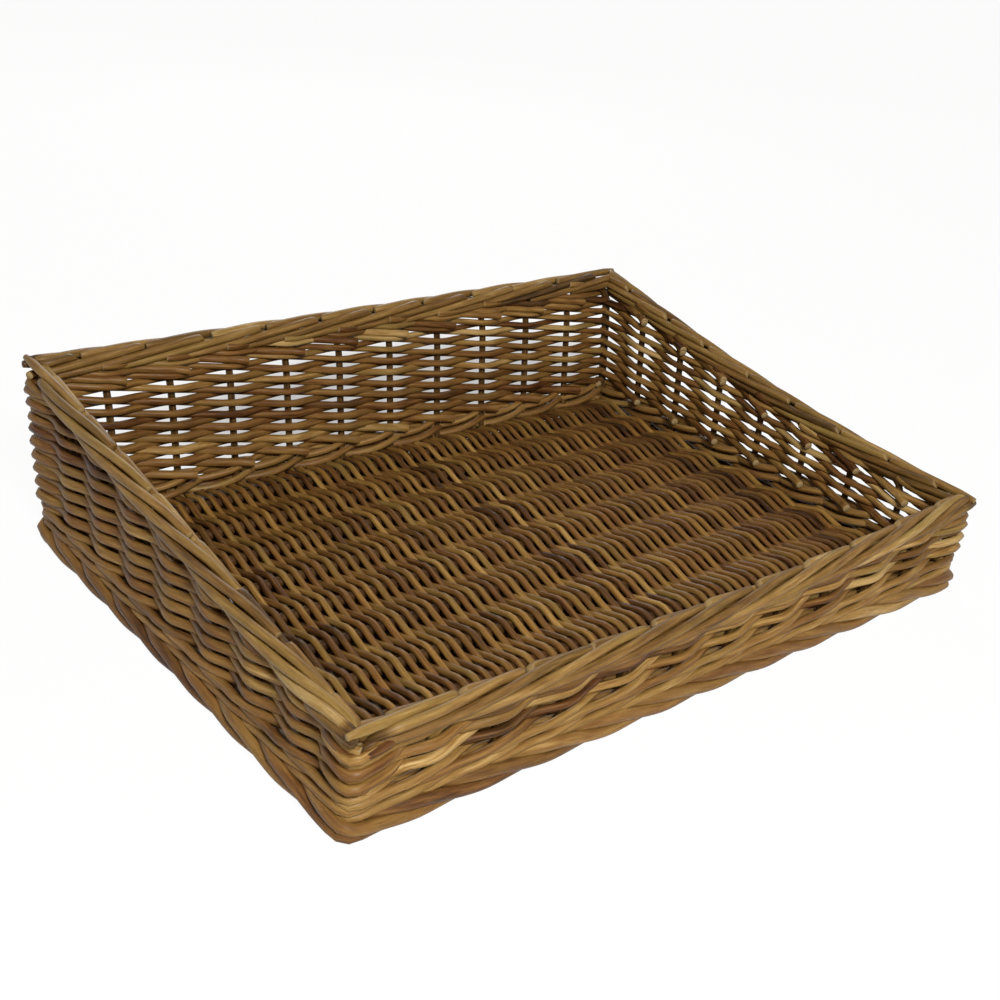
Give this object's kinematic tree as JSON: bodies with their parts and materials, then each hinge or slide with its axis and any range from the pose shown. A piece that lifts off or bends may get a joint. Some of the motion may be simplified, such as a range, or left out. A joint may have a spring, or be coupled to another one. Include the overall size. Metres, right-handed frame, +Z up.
{
  "type": "wicker tray",
  "caption": "Shallow rectangular woven willow tray with a high back, sides that slope down to a low front, and a rolled border.",
  "frame": {"origin": "middle of the bounding box in plan, on the ground under the foot wales", "axes": "+X along the long side to the viewer's right, +Y from the low front to the high back, +Z up"},
  "size_m": [0.6038, 0.45, 0.145],
  "materials": {
    "border_willow": "satin, golden-grey brown willow",
    "wale_willow": "satin, brown willow",
    "wall_willow": "satin, olive to reddish brown willow",
    "base_willow": "satin, reddish brown willow",
    "stick_willow": "matt, dark brown willow"
  },
  "bodies": {
    "root": {"base_stick_01": "stick_willow", "base_stick_02": "stick_willow", "base_stick_03": "stick_willow", "base_stick_04": "stick_willow", "base_stick_05": "stick_willow", "base_stick_06": "stick_willow", "base_stick_07": "stick_willow", "base_stick_08": "stick_willow", "base_stick_09": "stick_willow", "base_weave": "base_willow", "corner_post_back_left": "border_willow", "corner_post_back_right": "border_willow", "corner_post_front_left": "border_willow", "corner_post_front_right": "border_willow", "foot_wale_back": "wale_willow", "foot_wale_front": "wale_willow", "foot_wale_left": "wale_willow", "foot_wale_right": "wale_willow", "stake_back_01": "border_willow", "stake_back_02": "border_willow", "stake_back_03": "border_willow", "stake_back_04": "border_willow", "stake_back_05": "border_willow", "stake_back_06": "border_willow", "stake_back_07": "border_willow", "stake_back_08": "border_willow", "stake_back_09": "border_willow", "stake_back_10": "border_willow", "stake_front_01": "border_willow", "stake_front_02": "border_willow", "stake_front_03": "border_willow", "stake_front_04": "border_willow", "stake_front_05": "border_willow", "stake_front_06": "border_willow", "stake_front_07": "border_willow", "stake_front_08": "border_willow", "stake_front_09": "border_willow", "stake_front_10": "border_willow", "stake_left_01": "border_willow", "stake_left_02": "border_willow", "stake_left_03": "border_willow", "stake_left_04": "border_willow", "stake_left_05": "border_willow", "stake_left_06": "border_willow", "stake_left_07": "border_willow", "stake_right_01": "border_willow", "stake_right_02": "border_willow", "stake_right_03": "border_willow", "stake_right_04": "border_willow", "stake_right_05": "border_willow", "stake_right_06": "border_willow", "stake_right_07": "border_willow", "weave_back": "wall_willow", "weave_front": "wall_willow", "weave_left": "wall_willow", "weave_right": "wall_willow"}
  },
  "joints": []
}
